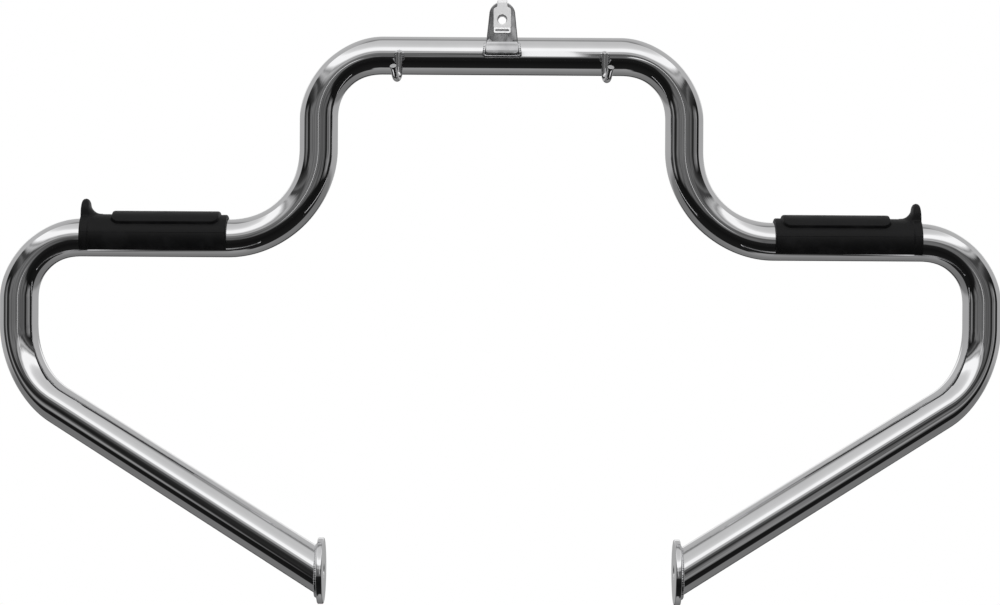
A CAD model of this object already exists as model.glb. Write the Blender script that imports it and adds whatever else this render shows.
"""Looks of chromed crash bars for a motorcycle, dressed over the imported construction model."""

import logging
import math
from collections.abc import Callable, Sequence
from dataclasses import dataclass, field
from enum import Enum

import bpy
import numpy as np
from bpy.types import Material, Mesh, Node, NodeSocket, NodeTree, Object
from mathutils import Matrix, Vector


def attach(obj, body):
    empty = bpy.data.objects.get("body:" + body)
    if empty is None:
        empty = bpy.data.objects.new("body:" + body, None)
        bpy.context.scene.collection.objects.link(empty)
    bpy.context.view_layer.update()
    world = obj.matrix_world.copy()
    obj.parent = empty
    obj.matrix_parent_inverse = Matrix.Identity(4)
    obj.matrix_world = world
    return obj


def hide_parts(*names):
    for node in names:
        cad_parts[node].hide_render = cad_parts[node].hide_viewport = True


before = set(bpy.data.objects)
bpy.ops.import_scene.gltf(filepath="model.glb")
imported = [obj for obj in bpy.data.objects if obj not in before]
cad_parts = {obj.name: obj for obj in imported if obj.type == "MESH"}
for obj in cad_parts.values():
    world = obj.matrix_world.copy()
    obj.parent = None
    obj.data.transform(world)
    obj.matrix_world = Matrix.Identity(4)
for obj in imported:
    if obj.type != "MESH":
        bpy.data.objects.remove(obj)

LOG = logging.getLogger("crash_bars")
MM = 0.001
BODY = "root"
# Edges that turn by more than this many degrees stay crisp.
CRISP_ANGLE = 50.0
# Values that only the modifiers need, and that leave the finished mesh.
HELPER_VALUES = ("squash", "slide", "axis", "rim", "along", "radius")

Point = tuple[float, float, float]
Pair = tuple[float, float]
Hole = Callable[[np.ndarray], np.ndarray]
Fold = Callable[[np.ndarray, np.ndarray, np.ndarray], np.ndarray]


class Side(Enum):
    """The rider's left and right half of the bars."""

    LEFT = -1
    RIGHT = 1

    @property
    def label(self) -> str:
        """The word that starts this side's node names."""
        return self.name.lower()


@dataclass(frozen=True)
class Bars:
    """Sizes that several sub-assemblies share, in metres."""

    tube_r: float = 15.875 * MM
    bore_r: float = 13.275 * MM
    outer_x: float = 401.5 * MM
    shelf_drop: float = 153.3 * MM
    leg_drop: float = 272 * MM
    plate_drop: float = 413.6 * MM
    leg_sweep: float = 146 * MM
    bar_y: float = 13.4507 * MM
    bar_z: float = -28.6 * MM
    plate_face_x: float = 135.2 * MM
    plate_t: float = 4.8 * MM

    @property
    def plate_back_x(self) -> float:
        """Where the tube ends against the back of the right end plate."""
        return self.plate_face_x + self.plate_t

    def place(self, x: float, forward: float, up: float) -> Point:
        """Turns (right, forward, up) from the top bar's centre into the frame's own point."""
        return (x, self.bar_y - forward, self.bar_z + up)


BARS = Bars()


class Tree:
    """A node tree that is being built, for a material, a world, a shader group or a modifier."""

    def __init__(self, tree: NodeTree) -> None:
        """Starts on an empty tree."""
        self.tree = tree

    def node(self, kind: str, **settings: object) -> Node:
        """Adds a node.

        Args:
            kind: The node's type name.
            settings: Properties of the node, by name.

        Returns:
            The new node.
        """
        made = self.tree.nodes.new(kind)
        for name, value in settings.items():
            setattr(made, name, value)
        return made

    def join(self, source: NodeSocket, target: NodeSocket) -> None:
        """Links an output to an input."""
        self.tree.links.new(source, target)

    def feed(self, target: NodeSocket, value: object) -> None:
        """Links a socket to an input, or sets the input to a plain value.

        Args:
            target: The input.
            value: A socket, a plain value, or None to leave the input alone.
        """
        if isinstance(value, NodeSocket):
            self.join(value, target)
        elif value is not None:
            target.default_value = value

    def chain(self, kind: str, source: NodeSocket, **settings: object) -> Node:
        """Adds a node and links an output to its first input.

        Args:
            kind: The node's type name.
            source: The output, as a rule a geometry.
            settings: Properties of the node, by name.

        Returns:
            The new node.
        """
        made = self.node(kind, **settings)
        self.join(source, made.inputs[0])
        return made

    def math(
        self, operation: str, first: object, second: object = None, third: object = None
    ) -> NodeSocket:
        """Adds a Math node.

        Args:
            operation: The node's operation.
            first: A socket or a number for its first input.
            second: The same for the second input.
            third: The same for the third input.

        Returns:
            The node's result.
        """
        made = self.node("ShaderNodeMath", operation=operation)
        for socket, value in zip(made.inputs, (first, second, third)):
            self.feed(socket, value)
        return made.outputs[0]

    def vector(self, operation: str, first: object, second: object = None) -> Node:
        """Adds a Vector Math node.

        Args:
            operation: The node's operation.
            first: A socket or three numbers for its first input.
            second: The same for the second input.

        Returns:
            The new node.
        """
        made = self.node("ShaderNodeVectorMath", operation=operation)
        for socket, value in zip(made.inputs, (first, second)):
            self.feed(socket, value)
        return made

    def scaled(self, vector: object, factor: object) -> NodeSocket:
        """Multiplies a vector by a number.

        Args:
            vector: The vector.
            factor: The number.

        Returns:
            The scaled vector.
        """
        made = self.node("ShaderNodeVectorMath", operation="SCALE")
        self.feed(made.inputs["Vector"], vector)
        self.feed(made.inputs["Scale"], factor)
        return made.outputs["Vector"]

    def combined(self, *parts: NodeSocket) -> NodeSocket:
        """Makes a vector.

        Args:
            parts: Its first parts, of which the missing ones are 0.

        Returns:
            The vector.
        """
        made = self.node("ShaderNodeCombineXYZ")
        for socket, part in zip(made.inputs, parts):
            self.join(part, socket)
        return made.outputs[0]

    def noise(
        self, where: object, scale: object, detail: float = 2.0, roughness: float = 0.5
    ) -> NodeSocket:
        """Adds a noise texture.

        Args:
            where: The place at which it is read.
            scale: How fine it is.
            detail: How many finer layers it has.
            roughness: How strong those layers are.

        Returns:
            The noise, from 0 to 1.
        """
        made = self.node("ShaderNodeTexNoise")
        self.feed(made.inputs["Vector"], where)
        self.feed(made.inputs["Scale"], scale)
        made.inputs["Detail"].default_value = detail
        made.inputs["Roughness"].default_value = roughness
        return made.outputs["Fac"]

    def remap(
        self,
        value: object,
        low: object,
        high: object,
        new_low: object = 0.0,
        new_high: object = 1.0,
    ) -> NodeSocket:
        """Adds a Map Range node that clamps.

        Args:
            value: What it reads.
            low: The value that becomes new_low.
            high: The value that becomes new_high.
            new_low: The result at low.
            new_high: The result at high.

        Returns:
            The result.
        """
        made = self.node("ShaderNodeMapRange", clamp=True)
        labels = ("Value", "From Min", "From Max", "To Min", "To Max")
        for label, given in zip(labels, (value, low, high, new_low, new_high)):
            self.feed(made.inputs[label], given)
        return made.outputs["Result"]

    def blend(self, factor: object, first: object, second: object) -> NodeSocket:
        """Mixes two colours.

        Args:
            factor: The share of the second colour.
            first: The first colour.
            second: The second colour.

        Returns:
            The mixed colour.
        """
        # The node repeats its sockets for each kind of value. These are the colours.
        first_at, second_at, mixed_at = 6, 7, 2
        made = self.node("ShaderNodeMix", data_type="RGBA")
        self.feed(made.inputs["Factor"], factor)
        self.feed(made.inputs[first_at], first)
        self.feed(made.inputs[second_at], second)
        return made.outputs[mixed_at]

    def ramp(self, value: NodeSocket, stops: Sequence[Pair]) -> NodeSocket:
        """Adds a colour ramp of greys.

        Args:
            value: What the ramp reads, from 0 to 1.
            stops: Pairs of place and grey, in rising order.

        Returns:
            The ramp's colour.
        """
        made = self.chain("ShaderNodeValToRGB", value)
        band = made.color_ramp
        while len(band.elements) > 1:
            band.elements.remove(band.elements[-1])
        for number, (place, grey) in enumerate(stops):
            stop = band.elements[0] if number == 0 else band.elements.new(place)
            stop.position = place
            stop.color = (grey, grey, grey, 1)
        return made.outputs["Color"]

    def placed(self, group: NodeTree, values: dict[str, float]) -> Node:
        """Places a shader group with its own values.

        Args:
            group: The group.
            values: What its inputs are set to, by name.

        Returns:
            The group's node.
        """
        made = self.node("ShaderNodeGroup", node_tree=group)
        for label, value in values.items():
            made.inputs[label].default_value = value
        return made


@dataclass
class Effects:
    """Shader groups that several finishes share, each built once."""

    wave_layers: Pair = (1.0, 0.4)
    fine_size: float = 1800.0
    fine_share: float = 0.35
    cloud_size: float = 30.0
    cloud_layers: Pair = (4.0, 0.6)
    cloud_span: Pair = (0.3, 0.7)
    dust_layers: Pair = (5.0, 0.62)
    dust_span: Pair = (0.45, 0.75)
    polish: NodeTree = field(init=False)
    grain: NodeTree = field(init=False)

    def __post_init__(self) -> None:
        """Builds both groups."""
        self.polish = self._polish()
        self.grain = self._grain()

    @staticmethod
    def _start(
        name: str, inputs: dict[str, float], outputs: Sequence[str]
    ) -> tuple[Tree, Node, Node]:
        """Makes an empty group with number sockets.

        Args:
            name: The group's name.
            inputs: Default of each input, by name.
            outputs: Names of the outputs.

        Returns:
            The tree, its input node and its output node.
        """
        group = bpy.data.node_groups.new(name, "ShaderNodeTree")
        kind = "NodeSocketFloat"
        for label, value in inputs.items():
            socket = group.interface.new_socket(label, in_out="INPUT", socket_type=kind)
            socket.default_value = value
        for label in outputs:
            group.interface.new_socket(label, in_out="OUTPUT", socket_type=kind)
        tree = Tree(group)
        return tree, tree.node("NodeGroupInput"), tree.node("NodeGroupOutput")

    def _polish(self) -> NodeTree:
        """The soft waves and faint haze that buffing leaves on plated steel.

        Returns:
            The group.
        """
        tree, given, result = self._start(
            "buffed_metal",
            {"Wave size": 40.0, "Wave depth": 1.0, "Haze low": 0.03, "Haze high": 0.06},
            ("Height", "Haze", "Tone"),
        )
        where = tree.node("ShaderNodeTexCoord").outputs["Object"]
        wave = tree.noise(where, given.outputs["Wave size"], *self.wave_layers)
        fine = tree.noise(where, self.fine_size)
        cloud = tree.noise(where, self.cloud_size, *self.cloud_layers)
        soft = tree.math("MULTIPLY", cloud, 1 - self.fine_share)
        haze = tree.remap(
            tree.math("MULTIPLY_ADD", fine, self.fine_share, soft),
            *self.cloud_span,
            given.outputs["Haze low"],
            given.outputs["Haze high"],
        )
        height = tree.math("MULTIPLY", wave, given.outputs["Wave depth"])
        tree.join(height, result.inputs["Height"])
        tree.join(haze, result.inputs["Haze"])
        tree.join(tree.remap(cloud, *self.cloud_span), result.inputs["Tone"])
        return tree.tree

    def _grain(self) -> NodeTree:
        """The fine pebbled skin of a moulding or a casting, with faint clouds of dust.

        Returns:
            The group.
        """
        tree, given, result = self._start(
            "fine_grain", {"Grain size": 1500.0, "Dust size": 60.0}, ("Height", "Dust")
        )
        where = tree.node("ShaderNodeTexCoord").outputs["Object"]
        pebble = tree.chain("ShaderNodeTexVoronoi", where, feature="SMOOTH_F1")
        tree.join(given.outputs["Grain size"], pebble.inputs["Scale"])
        tree.join(pebble.outputs["Distance"], result.inputs["Height"])
        dust = tree.noise(where, given.outputs["Dust size"], *self.dust_layers)
        tree.join(tree.remap(dust, *self.dust_span), result.inputs["Dust"])
        return tree.tree


@dataclass(frozen=True)
class Finish:
    """What every finish has: a name, a colour and a Principled shader."""

    name: str
    colour: Point

    def start(self) -> tuple[Material, Tree, Node]:
        """Makes a material that has only its shader.

        Returns:
            The material, its tree and the shader.
        """
        made = bpy.data.materials.new(self.name)
        made.use_nodes = True
        made.node_tree.nodes.clear()
        made.diffuse_color = (*self.colour, 1)
        tree = Tree(made.node_tree)
        shader = tree.node("ShaderNodeBsdfPrincipled")
        tree.join(shader.outputs[0], tree.node("ShaderNodeOutputMaterial").inputs["Surface"])
        return made, tree, shader

    @staticmethod
    def roughen(tree: Tree, shader: Node, height: NodeSocket, depth: float) -> None:
        """Gives the surface a fine relief.

        Args:
            tree: The material's tree.
            shader: Its shader.
            height: The relief, from 0 to 1.
            depth: How deep the relief is, in metres.
        """
        bump = tree.node("ShaderNodeBump")
        bump.inputs["Strength"].default_value = 1.0
        bump.inputs["Distance"].default_value = depth
        tree.join(height, bump.inputs["Height"])
        tree.join(bump.outputs["Normal"], shader.inputs["Normal"])


@dataclass(frozen=True)
class MetalFinish(Finish):
    """A bare or plated metal surface."""

    shade: Point
    haze: Pair
    wave_size: float = 40.0
    wave_depth: float = 1.0
    bump: float = 0.02 * MM
    cast: float = 0.0
    cast_size: float = 900.0
    metallic: float = 1.0

    def build(self, effects: Effects) -> Material:
        """Makes the material.

        Args:
            effects: The shared shader groups.

        Returns:
            The finished material.
        """
        made, tree, shader = self.start()
        shader.inputs["Metallic"].default_value = self.metallic
        values = {
            "Wave size": self.wave_size,
            "Wave depth": self.wave_depth,
            "Haze low": self.haze[0],
            "Haze high": self.haze[1],
        }
        polish = tree.placed(effects.polish, values).outputs
        colour = tree.blend(polish["Tone"], (*self.shade, 1), (*self.colour, 1))
        tree.join(colour, shader.inputs["Base Color"])
        tree.join(polish["Haze"], shader.inputs["Roughness"])
        height = polish["Height"]
        if self.cast:
            grain = tree.placed(effects.grain, {"Grain size": self.cast_size})
            height = tree.math("MULTIPLY_ADD", grain.outputs["Height"], self.cast, height)
        self.roughen(tree, shader, height, self.bump)
        return made


@dataclass(frozen=True)
class RubberFinish(Finish):
    """Black moulded rubber with a fine grain and a trace of dust."""

    dusty: Point
    roughness: Pair
    specular: float = 0.25
    grain_size: float = 1500.0
    grain_depth: float = 0.03 * MM

    def build(self, effects: Effects) -> Material:
        """Makes the material.

        Args:
            effects: The shared shader groups.

        Returns:
            The finished material.
        """
        made, tree, shader = self.start()
        shader.inputs["Specular IOR Level"].default_value = self.specular
        grain = tree.placed(effects.grain, {"Grain size": self.grain_size}).outputs
        colour = tree.blend(grain["Dust"], (*self.colour, 1), (*self.dusty, 1))
        tree.join(colour, shader.inputs["Base Color"])
        tree.join(tree.remap(grain["Dust"], 0.0, 1.0, *self.roughness), shader.inputs["Roughness"])
        self.roughen(tree, shader, grain["Height"], self.grain_depth)
        return made


class Finishes:
    """Every material of the bars, built once."""

    def __init__(self) -> None:
        """Builds the shared groups and then each material."""
        effects = Effects()
        self.chrome = MetalFinish(
            "chrome_plate", (0.93, 0.93, 0.94), (0.88, 0.88, 0.89), (0.015, 0.035)
        ).build(effects)
        self.stamped = MetalFinish(
            "stamped_chrome",
            (0.74, 0.74, 0.75),
            (0.44, 0.44, 0.45),
            (0.04, 0.1),
            wave_size=90.0,
            bump=0.05 * MM,
            cast=0.02,
        ).build(effects)
        self.weld = MetalFinish(
            "plated_weld",
            (0.86, 0.86, 0.87),
            (0.7, 0.7, 0.72),
            (0.08, 0.2),
            wave_size=300.0,
            bump=0.15 * MM,
            cast=0.3,
        ).build(effects)
        self.spring = MetalFinish(
            "zinc_spring_steel",
            (0.96, 0.96, 0.96),
            (0.88, 0.88, 0.89),
            (0.26, 0.38),
            wave_size=90.0,
            bump=0.04 * MM,
            metallic=0.42,
        ).build(effects)
        self.steel = MetalFinish(
            "plain_fastener_steel",
            (0.55, 0.55, 0.56),
            (0.42, 0.42, 0.43),
            (0.22, 0.42),
            wave_size=200.0,
            bump=0.03 * MM,
            cast=0.2,
        ).build(effects)
        self.rubber = RubberFinish(
            "black_pad_rubber", (0.0035, 0.0035, 0.0038), (0.008, 0.008, 0.0085), (0.45, 0.62)
        ).build(effects)


@dataclass
class Path:
    """A centreline that is laid out stretch by stretch, with what the sweep needs at each point."""

    at: Vector
    heading: Vector
    points: list[Vector] = field(default_factory=list)
    headings: list[Vector] = field(default_factory=list)
    squash: list[Vector] = field(default_factory=list)

    def __post_init__(self) -> None:
        """Notes the first point."""
        self._note(Vector((0, 0, 0)))

    def _note(self, squash: Vector) -> None:
        """Adds the place where the path now is.

        Args:
            squash: Direction in which the tube is narrower there, as long as the share's root.
        """
        self.points.append(self.at.copy())
        self.headings.append(self.heading.copy())
        self.squash.append(squash)

    def straight(self, length: float, pieces: int = 1) -> "Path":
        """Runs straight on.

        Args:
            length: How far.
            pieces: In how many equal pieces.

        Returns:
            This path.
        """
        for _ in range(pieces):
            self.at = self.at + self.heading * (length / pieces)
            self._note(Vector((0, 0, 0)))
        return self

    def bend(
        self, radius: float, turn: float, side: Vector, flat: float = 0.0, step: float = 2.0
    ) -> "Path":
        """Bends towards a side, where the tube loses a little of its width.

        Args:
            radius: The centreline's radius.
            turn: The angle of the bend, in degrees.
            side: The direction from the path to the bend's centre.
            flat: The share of its width that the tube loses in the plane of the bend.
            step: The most that one piece may turn, in degrees.

        Returns:
            This path.
        """
        lead_share = 0.42
        side = side.normalized()
        heading = self.heading.copy()
        centre = self.at + side * radius
        count = math.ceil(turn / step)
        lead = lead_share * turn
        for number in range(1, count + 1):
            angle = turn * number / count
            cos, sin = math.cos(math.radians(angle)), math.sin(math.radians(angle))
            self.at = centre - side * radius * cos + heading * radius * sin
            self.heading = (heading * cos + side * sin).normalized()
            inward = side * cos - heading * sin
            ease = min(1.0, angle / lead, (turn - angle) / lead)
            self._note(inward * math.sqrt(flat * ease * ease * (3 - 2 * ease)))
        return self


def link(made: Object) -> Object:
    """Puts an object into the scene."""
    bpy.context.scene.collection.objects.link(made)
    return made


def vectors(mesh: Mesh, name: str, values: Sequence[Vector]) -> None:
    """Stores a vector for each point of a mesh under a name."""
    flat = [part for value in values for part in value]
    mesh.attributes.new(name, "FLOAT_VECTOR", "POINT").data.foreach_set("vector", flat)


def numbers(mesh: Mesh, name: str, values: Sequence[float]) -> None:
    """Stores a number for each point of a mesh under a name."""
    mesh.attributes.new(name, "FLOAT", "POINT").data.foreach_set("value", list(values))


def plain_mesh(source: Object, name: str) -> Object:
    """Turns an object with a modifier into a plain mesh object.

    Args:
        source: The object, which is removed.
        name: Name of the new object.

    Returns:
        The new object, at the origin.
    """
    graph = bpy.context.evaluated_depsgraph_get()
    mesh = bpy.data.meshes.new_from_object(
        source.evaluated_get(graph), preserve_all_data_layers=True, depsgraph=graph
    )
    bpy.data.objects.remove(source)
    mesh.name = name
    for helper in [kept.name for kept in mesh.attributes if kept.name in HELPER_VALUES]:
        mesh.attributes.remove(mesh.attributes[helper])
    return link(bpy.data.objects.new(name, mesh))


def surface(
    name: str, verts: np.ndarray, faces: list[tuple[int, ...]], finish: Material
) -> Object:
    """Makes a smooth mesh object with edges that stay crisp above an angle.

    Args:
        name: Name of the object.
        verts: Points, in metres.
        faces: Loops of point numbers, facing outward.
        finish: The material.

    Returns:
        The new object.
    """
    mesh = bpy.data.meshes.new(name)
    mesh.from_pydata(verts.tolist(), [], faces)
    mesh.validate()
    mesh.polygons.foreach_set("use_smooth", [True] * len(mesh.polygons))
    mesh.set_sharp_from_angle(angle=math.radians(CRISP_ANGLE))
    mesh.materials.append(finish)
    return link(bpy.data.objects.new(name, mesh))


def fused(name: str, parts: Sequence[Object]) -> Object:
    """Joins objects into one.

    Args:
        name: Name of the result.
        parts: The objects, of which only the joined one stays.

    Returns:
        The joined object.
    """
    first, every = parts[0], list(parts)
    with bpy.context.temp_override(
        active_object=first, object=first, selected_editable_objects=every, selected_objects=every
    ):
        bpy.ops.object.join()
    first.name = name
    return first


def wrap_faces(rows: int, columns: int, close_rows: bool) -> list[tuple[int, ...]]:
    """Quads over a grid whose columns close into a ring.

    Args:
        rows: How many rings there are.
        columns: How many points a ring has.
        close_rows: Whether the last ring joins the first.

    Returns:
        The quads' point numbers.
    """
    faces = []
    for row in range(rows if close_rows else rows - 1):
        here, after = row * columns, (row + 1) % rows * columns
        for column in range(columns):
            beside = (column + 1) % columns
            faces.append((here + column, here + beside, after + beside, after + column))
    return faces


class PathShaper:
    """A modifier that turns a path into a piece. Its tree is built once, for many pieces."""

    def __init__(self, name: str, inputs: dict[str, str]) -> None:
        """Builds the tree, from its sockets to Realize Instances and Set Material.

        Args:
            name: The tree's name.
            inputs: Kind of each value that a piece sets, by name.
        """
        group = bpy.data.node_groups.new(name, "GeometryNodeTree")
        sockets = {"Path": "Geometry", **inputs, "Finish": "Material"}
        for label, kind in sockets.items():
            group.interface.new_socket(label, in_out="INPUT", socket_type=f"NodeSocket{kind}")
        group.interface.new_socket("Piece", in_out="OUTPUT", socket_type="NodeSocketGeometry")
        self.tree = Tree(group)
        self.given = self.tree.node("NodeGroupInput").outputs
        curve = self.tree.chain("GeometryNodeMeshToCurve", self.given["Path"])
        shape = self._shape(curve.outputs[0])
        real = self.tree.chain("GeometryNodeRealizeInstances", shape)
        painted = self.tree.chain("GeometryNodeSetMaterial", real.outputs[0])
        self.tree.join(self.given["Finish"], painted.inputs["Material"])
        self.tree.chain("NodeGroupOutput", painted.outputs[0])

    def _shape(self, curve: NodeSocket) -> NodeSocket:
        """Adds the nodes that are this modifier's own. Each kind of shaper gives them."""
        raise NotImplementedError

    def _attribute(self, name: str, kind: str = "FLOAT") -> NodeSocket:
        """Reads a value that the path's points carry.

        Args:
            name: The value's name.
            kind: Its type.

        Returns:
            The value.
        """
        made = self.tree.node("GeometryNodeInputNamedAttribute", data_type=kind)
        made.inputs["Name"].default_value = name
        return made.outputs["Attribute"]

    def _ring(self, radius: NodeSocket, facets: object) -> NodeSocket:
        """Adds the round section that is drawn along the path.

        Args:
            radius: Its radius.
            facets: How many points go round.

        Returns:
            The ring.
        """
        made = self.tree.node("GeometryNodeCurvePrimitiveCircle", mode="RADIUS")
        self.tree.feed(made.inputs["Resolution"], facets)
        self.tree.join(radius, made.inputs["Radius"])
        return made.outputs["Curve"]

    def _drawn(
        self, curve: NodeSocket, ring: NodeSocket, scale: object, capped: bool = False
    ) -> NodeSocket:
        """Draws the ring along the curve.

        Args:
            curve: The path.
            ring: The section.
            scale: The section's size at each point.
            capped: Whether the ends are closed.

        Returns:
            The mesh.
        """
        made = self.tree.chain("GeometryNodeCurveToMesh", curve)
        self.tree.join(ring, made.inputs["Profile Curve"])
        self.tree.feed(made.inputs["Scale"], scale)
        made.inputs["Fill Caps"].default_value = capped
        return made.outputs["Mesh"]

    def _piece(self, name: str, path: Mesh, values: dict[str, object]) -> Object:
        """Shapes one piece.

        Args:
            name: Name of the piece.
            path: Its path, with the values that the tree reads.
            values: What the modifier's inputs are set to, by name.

        Returns:
            The piece, as a plain mesh object.
        """
        source = link(bpy.data.objects.new(path.name, path))
        modifier = source.modifiers.new("shape", "NODES")
        modifier.node_group = self.tree.tree
        for item in modifier.node_group.interface.items_tree:
            if item.item_type == "SOCKET" and item.in_out == "INPUT" and item.name in values:
                modifier[item.identifier] = values[item.name]
        return plain_mesh(source, name)


class Sweep(PathShaper):
    """The modifier that draws a tube or a rod along a path."""

    MERGE: float = 0.0005 * MM

    def __init__(self) -> None:
        """Builds the tree once."""
        inputs = {"Outer radius": "Float", "Wall": "Float", "Facets": "Int", "Hollow": "Bool"}
        super().__init__("bent_tube", inputs)

    def _shape(self, curve: NodeSocket) -> NodeSocket:
        """Draws both walls of the tube, or the rod, and brings it into its real shape.

        Args:
            curve: The path.

        Returns:
            The smooth mesh.
        """
        tree, given = self.tree, self.given
        ring = self._ring(given["Outer radius"], given["Facets"])
        rim = self._attribute("rim")
        share = tree.math("DIVIDE", given["Wall"], given["Outer radius"])
        thinner = tree.math("MULTIPLY", share, tree.math("SUBTRACT", 1.0, rim))
        bore = self._drawn(curve, ring, tree.math("SUBTRACT", 1.0, thinner))
        inside = tree.chain("GeometryNodeFlipFaces", bore)
        both = tree.chain("GeometryNodeJoinGeometry", inside.outputs[0])
        tree.join(self._drawn(curve, ring, 1.0), both.inputs[0])
        closed = tree.chain("GeometryNodeMergeByDistance", both.outputs[0])
        closed.inputs["Distance"].default_value = self.MERGE
        choice = tree.node("GeometryNodeSwitch", input_type="GEOMETRY")
        tree.join(given["Hollow"], choice.inputs["Switch"])
        tree.join(self._drawn(curve, ring, rim, capped=True), choice.inputs["False"])
        tree.join(closed.outputs[0], choice.inputs["True"])
        moved = tree.chain("GeometryNodeSetPosition", choice.outputs[0])
        tree.join(self._offset(), moved.inputs["Offset"])
        angle = tree.node("GeometryNodeInputMeshEdgeAngle").outputs["Unsigned Angle"]
        crisp = tree.chain(
            "FunctionNodeCompare", angle, data_type="FLOAT", operation="GREATER_THAN"
        )
        crisp.inputs[1].default_value = math.radians(CRISP_ANGLE)
        smooth = tree.chain("GeometryNodeSetShadeSmooth", moved.outputs[0], domain="FACE")
        edged = tree.chain("GeometryNodeSetShadeSmooth", smooth.outputs[0], domain="EDGE")
        tree.join(crisp.outputs[0], edged.inputs["Selection"])
        edged.inputs["Shade Smooth"].default_value = False
        return edged.outputs[0]

    def _offset(self) -> NodeSocket:
        """How far each point moves, for the flattened bends and the slanting ends.

        Returns:
            The offset.
        """
        tree = self.tree
        place = tree.node("GeometryNodeInputPosition").outputs[0]
        axis, squash, slide = (
            self._attribute(name, "FLOAT_VECTOR") for name in ("axis", "squash", "slide")
        )
        spoke = tree.vector("SUBTRACT", place, axis).outputs[0]
        depth = tree.vector("DOT_PRODUCT", spoke, squash).outputs["Value"]
        across = tree.chain("ShaderNodeSeparateXYZ", spoke).outputs[0]
        flat, past = tree.scaled(squash, depth), tree.scaled(slide, across)
        return tree.scaled(tree.vector("ADD", flat, past).outputs[0], -1.0)

    def draw(
        self,
        name: str,
        path: Path,
        radius: float,
        finish: Material,
        rim: Sequence[float],
        wall: float = 0.0,
        facets: int = 80,
        slide: dict[int, Vector] | None = None,
    ) -> Object:
        """Draws a tube or a rod.

        Args:
            name: Name of the piece.
            path: The centreline.
            radius: Outside radius.
            finish: The material.
            rim: The share of the radius at each point of a rod. For a tube, 1 where its wall
                closes and 0 elsewhere.
            wall: Wall thickness, or 0 for a solid rod.
            facets: How many points go round.
            slide: For the number of a point, the direction in which its ring slides to a plane
                across X.

        Returns:
            The finished object.
        """
        count = len(path.points)
        still = Vector((0, 0, 0))
        mesh = bpy.data.meshes.new(f"{name}_path")
        edges = [(number, number + 1) for number in range(count - 1)]
        mesh.from_pydata([tuple(point) for point in path.points], edges, [])
        vectors(mesh, "axis", path.points)
        vectors(mesh, "squash", path.squash)
        vectors(mesh, "slide", [(slide or {}).get(number, still) for number in range(count)])
        numbers(mesh, "rim", rim)
        values = {
            "Outer radius": radius,
            "Wall": wall,
            "Facets": facets,
            "Hollow": wall > 0,
            "Finish": finish,
        }
        return self._piece(name, mesh, values)


class Bead(PathShaper):
    """The modifier that lays a rippled weld bead along a path."""

    FACETS: int = 20
    STEP: float = 0.35 * MM
    PITCH: float = 1.7 * MM
    RIPPLE: float = 0.16 * MM
    UNEVEN: float = 0.55 * MM
    LUMP_SIZE: float = 420.0
    WOBBLE: float = 0.8
    TROUGH: float = 0.6

    def __init__(self) -> None:
        """Builds the tree once."""
        labels = ("Radius", "Ripple pitch", "Ripple height", "Unevenness", "Seed")
        super().__init__("weld_bead", dict.fromkeys(labels, "Float"))

    def _shape(self, curve: NodeSocket) -> NodeSocket:
        """Draws the bead and raises its ripples.

        Args:
            curve: The path.

        Returns:
            The smooth mesh.
        """
        tree, given = self.tree, self.given
        ring = self._ring(given["Radius"], self.FACETS)
        drawn = self._drawn(curve, ring, self._attribute("rim"), capped=True)
        place = tree.node("GeometryNodeInputPosition").outputs[0]
        seeded = tree.vector("ADD", place, tree.combined(given["Seed"])).outputs[0]
        lumps = tree.math("SUBTRACT", tree.noise(seeded, self.LUMP_SIZE), 0.5)
        turns = tree.math("DIVIDE", self._attribute("along"), given["Ripple pitch"])
        wobble = tree.math("MULTIPLY_ADD", lumps, self.WOBBLE, turns)
        wave = tree.math("ABSOLUTE", tree.math("SINE", tree.math("MULTIPLY", wobble, math.pi)))
        level = tree.math("SUBTRACT", wave, self.TROUGH)
        ripple = tree.math("MULTIPLY", level, given["Ripple height"])
        swell = tree.math("MULTIPLY_ADD", lumps, given["Unevenness"], ripple)
        normal = tree.node("GeometryNodeInputNormal").outputs["Normal"]
        moved = tree.chain("GeometryNodeSetPosition", drawn)
        tree.join(tree.scaled(normal, swell), moved.inputs["Offset"])
        smooth = tree.chain("GeometryNodeSetShadeSmooth", moved.outputs[0], domain="FACE")
        return smooth.outputs[0]

    def lay(
        self,
        name: str,
        points: Sequence[Point],
        radius: float,
        finish: Material,
        closed: bool = False,
        seed: float = 0.0,
    ) -> Object:
        """Lays a bead.

        Args:
            name: Name of the piece.
            points: The bead's centreline.
            radius: The bead's radius.
            finish: The material.
            closed: Whether the bead runs all the way round.
            seed: Picks the unevenness.

        Returns:
            The finished object.
        """
        line = resampled(points, self.STEP, closed)
        count = len(line)
        along = [number * self.STEP for number in range(count)]
        taper = [1.0 if closed else end_taper(place, along[-1], radius) for place in along]
        edges = [(number, number + 1) for number in range(count - 1)]
        if closed:
            edges.append((count - 1, 0))
        mesh = bpy.data.meshes.new(f"{name}_path")
        mesh.from_pydata(line.tolist(), edges, [])
        numbers(mesh, "along", along)
        numbers(mesh, "rim", taper)
        values = {
            "Radius": radius,
            "Ripple pitch": self.PITCH,
            "Ripple height": self.RIPPLE,
            "Unevenness": self.UNEVEN,
            "Seed": seed,
            "Finish": finish,
        }
        return self._piece(name, mesh, values)


def end_taper(place: float, total: float, radius: float) -> float:
    """The share of a bead's radius near its ends, which close in a dome.

    Args:
        place: Distance from the bead's start.
        total: The bead's length.
        radius: The bead's radius.

    Returns:
        The share.
    """
    tip = 0.08
    near = min(place, total - place) / radius
    return tip + (1 - tip) * math.sqrt(max(0.0, 1 - (1 - min(near, 1.0)) ** 2))


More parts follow.
